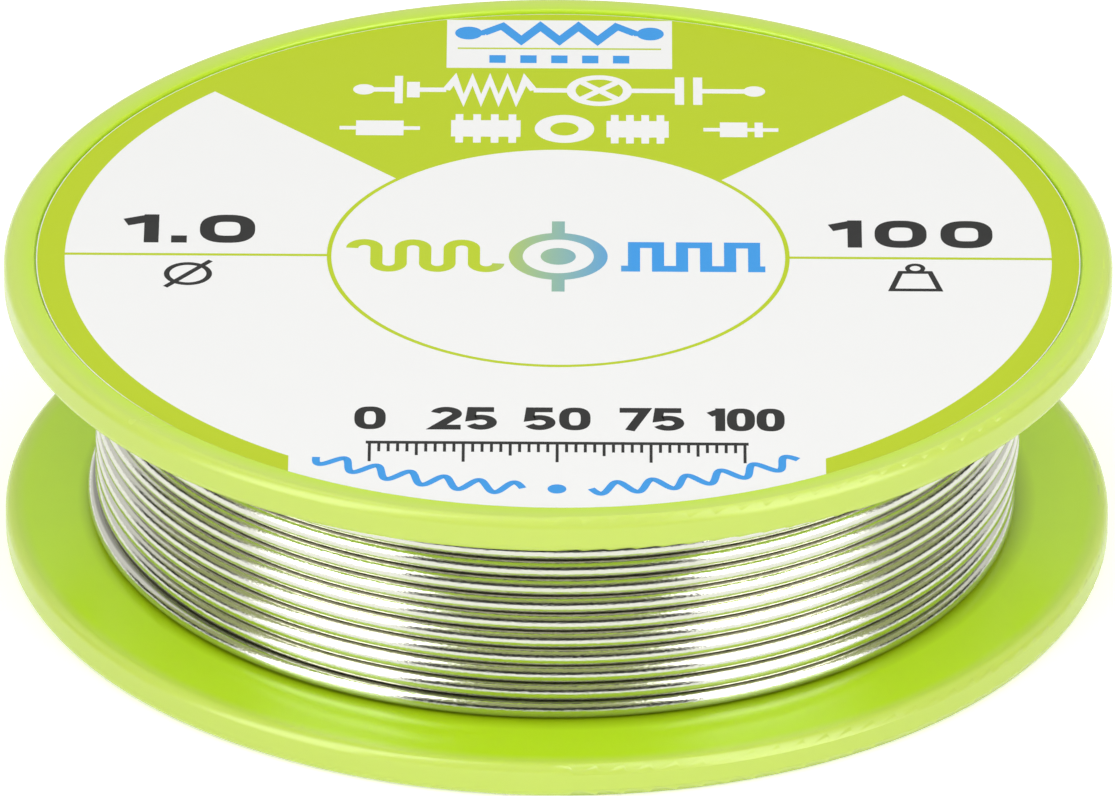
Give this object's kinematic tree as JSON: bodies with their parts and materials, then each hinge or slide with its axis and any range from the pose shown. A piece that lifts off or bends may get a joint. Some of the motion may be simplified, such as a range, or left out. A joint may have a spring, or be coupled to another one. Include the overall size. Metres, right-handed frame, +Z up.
{
  "type": "solder wire spool",
  "caption": "Small moulded reel with two round flanges and a hollow hub, wound full of soft solder wire, with a round paper label recessed in the upper flange.",
  "frame": {"origin": "centre of the ring on which the lower flange stands, on the spool's axis", "axes": "+Z up along the spool's axis, from the lower flange to the labelled flange; +X to the right and +Y to the back as the label reads"},
  "size_m": [0.06, 0.06, 0.0169],
  "materials": {
    "reel_plastic": "glossy, slightly translucent yellow-green moulding",
    "inner_solder": "dull tin, hidden layers of soft solder wire",
    "solder_wire": "bright drawn tin alloy with fine lengthwise streaks",
    "label_paper": "white coated paper with a satin print"
  },
  "bodies": {
    "root": {"lower_flange_with_drum": "reel_plastic", "upper_flange_cap": "reel_plastic", "inner_wire_layers": "inner_solder", "outer_wire_layer": "solder_wire", "face_label": "label_paper"}
  },
  "joints": []
}
